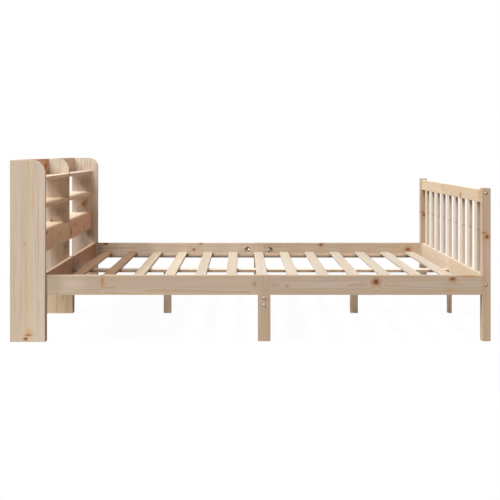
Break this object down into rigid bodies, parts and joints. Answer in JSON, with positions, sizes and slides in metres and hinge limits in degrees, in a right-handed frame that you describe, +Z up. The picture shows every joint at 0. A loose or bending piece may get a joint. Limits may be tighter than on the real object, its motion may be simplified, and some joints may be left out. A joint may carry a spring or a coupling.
{
  "type": "bed frame",
  "caption": "Pine double bed frame with an open bookcase headboard, a slatted mattress base and a low footboard of upright bars; stands on the floor.",
  "frame": {"origin": "on the floor, in the middle of the whole bed's outline", "axes": "+X from the headboard to the footboard, +Y across the bed, +Z up; left is -Y and right is +Y, seen from the foot"},
  "size_m": [2.238, 1.695, 0.845],
  "materials": {
    "pine_boards": "planed, unfinished",
    "pine_frame": "planed, unfinished",
    "pine_slats": "planed, unfinished",
    "dowel_wood": "turned, unfinished",
    "zinc_steel": "zinc plated"
  },
  "bodies": {
    "root": {"apron_left": "pine_boards", "apron_right": "pine_boards", "back_board_left": "pine_boards", "back_board_right": "pine_boards", "balusters": "pine_frame", "beam_bearers": "pine_frame", "centre_beam_foot": "pine_frame", "centre_beam_head": "pine_frame", "centre_leg_foot": "pine_frame", "centre_leg_head": "pine_frame", "crossbar": "pine_frame", "crossbar_bolts": "zinc_steel", "foot_centre_leg": "pine_frame", "foot_lower_rail": "pine_frame", "foot_post_left": "pine_frame", "foot_post_right": "pine_frame", "foot_rail_bolts": "zinc_steel", "foot_top_rail": "pine_frame", "half_moon_washers": "zinc_steel", "head_leg_left": "pine_frame", "head_leg_right": "pine_frame", "head_middle_cleats": "pine_frame", "head_panel_left": "pine_boards", "head_panel_middle": "pine_boards", "head_panel_right": "pine_boards", "head_rail_left": "pine_frame", "head_rail_right": "pine_frame", "mid_leg_left": "pine_frame", "mid_leg_right": "pine_frame", "mid_leg_studs": "zinc_steel", "panel_screws": "zinc_steel", "shelf_low_left": "pine_boards", "shelf_low_right": "pine_boards", "shelf_middle_left": "pine_boards", "shelf_middle_right": "pine_boards", "shelf_top_left": "pine_boards", "shelf_top_right": "pine_boards", "side_rail_bolts": "zinc_steel", "side_rail_left_foot": "pine_frame", "side_rail_left_head": "pine_frame", "side_rail_right_foot": "pine_frame", "side_rail_right_head": "pine_frame", "slat_01": "pine_slats", "slat_02": "pine_slats", "slat_03": "pine_slats", "slat_04": "pine_slats", "slat_05": "pine_slats", "slat_06": "pine_slats", "slat_07": "pine_slats", "slat_08": "pine_slats", "slat_09": "pine_slats", "slat_10": "pine_slats", "slat_11": "pine_slats", "slat_12": "pine_slats", "slat_13": "pine_slats", "slat_ledges_left": "pine_frame", "slat_ledges_right": "pine_frame", "stud_nuts": "zinc_steel", "wood_dowels": "dowel_wood"}
  },
  "joints": []
}
